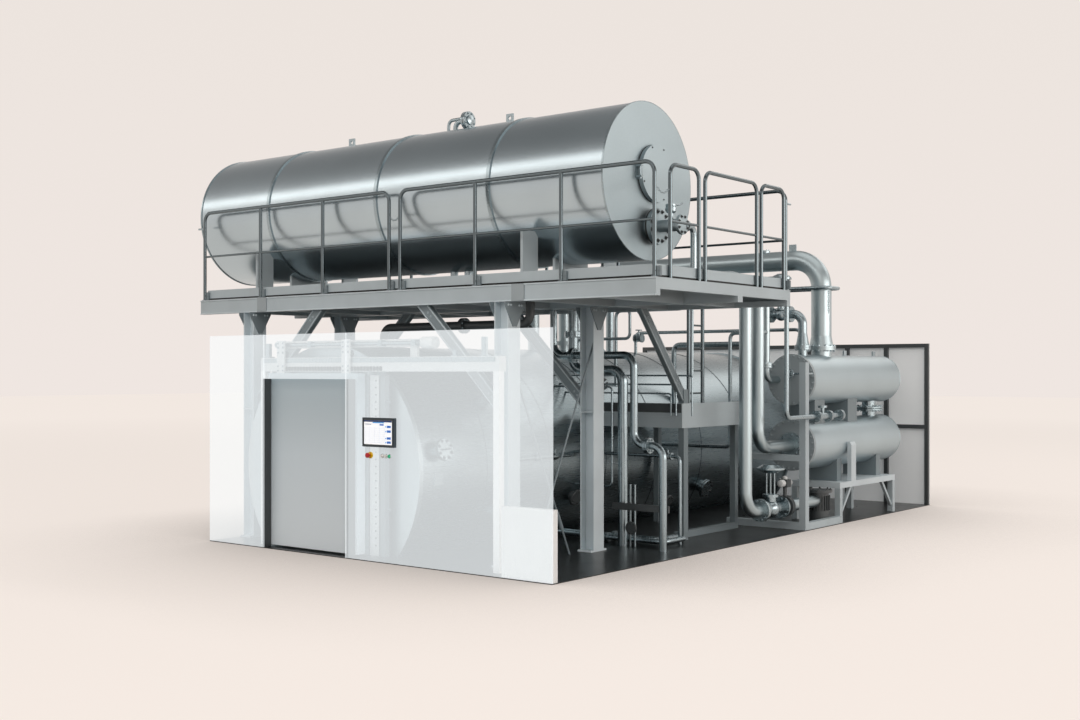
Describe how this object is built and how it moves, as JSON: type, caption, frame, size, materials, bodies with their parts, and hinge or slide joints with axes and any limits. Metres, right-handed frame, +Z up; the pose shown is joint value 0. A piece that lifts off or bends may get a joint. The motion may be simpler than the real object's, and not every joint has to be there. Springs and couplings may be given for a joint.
{
  "type": "retort sterilizer plant",
  "caption": "Pass-through retort sterilizer: horizontal pressure vessel behind a wall with a sliding door, under a platform with a storage tank, with heat exchangers and pipework beside it.",
  "frame": {"origin": "centre of the floor plate's underside, at ground level", "axes": "+X along the loading wall towards the heat exchangers, +Y from the loading wall to the unloading wall, +Z up"},
  "size_m": [7.19, 9.625, 5.084],
  "materials": {
    "wall_sheet": "satin translucent sheet",
    "white_paint": "satin",
    "door_grey": "satin",
    "dark_steel": "matt",
    "screen": "gloss",
    "steel_grey": "satin",
    "stainless": "satin stainless"
  },
  "bodies": {
    "plant": {"floor_plate": "dark_steel", "front_wall_left": "wall_sheet", "front_wall_right": "wall_sheet", "front_wall_header": "wall_sheet", "door_jambs": "steel_grey", "door_rail": "steel_grey", "door_rail_posts": "white_paint", "door_drive": "steel_grey", "control_screen": "screen", "service_box": "white_paint", "back_wall": "white_paint", "back_wall_posts": "dark_steel", "back_wall_rails": "dark_steel", "rear_door": "door_grey", "vessel_shell": "stainless", "vessel_plates": "stainless", "vessel_mouths": "stainless", "vessel_nozzles": "stainless", "chamber_rails": "steel_grey", "columns": "steel_grey", "column_gussets": "steel_grey", "knee_braces": "steel_grey", "tie_rods": "stainless", "platform_beams": "steel_grey", "platform_joists": "steel_grey", "platform_deck": "dark_steel", "toe_boards": "steel_grey", "handrails_long": "stainless", "handrails_end": "stainless", "tank_shell": "stainless", "tank_ends": "stainless", "tank_bands": "stainless", "tank_saddles": "steel_grey", "tank_cover": "stainless", "tank_fittings": "stainless", "exchanger_shells": "stainless", "exchanger_plates": "dark_steel", "exchanger_saddles": "steel_grey", "exchanger_spool": "stainless", "exchanger_stand": "steel_grey", "skid_frame": "steel_grey", "overhead_pipe": "stainless", "circulation_pipes": "stainless", "pump_pipe": "stainless", "control_valves": "stainless", "butterfly_valve": "dark_steel", "pump": "dark_steel", "steam_pipe": "stainless", "drain_pipes": "stainless", "vent_pipe": "dark_steel", "small_pipe": "stainless", "walkway": "steel_grey", "walkway_posts": "steel_grey", "walkway_stay": "steel_grey"},
    "door": {"door_leaf": "door_grey", "door_hangers": "steel_grey", "door_rollers": "dark_steel"}
  },
  "joints": [
    {"name": "door_slide", "type": "slide", "parent": "plant", "child": "door", "axis": [1, 0, 0], "range_m": [0, 1.5]}
  ]
}
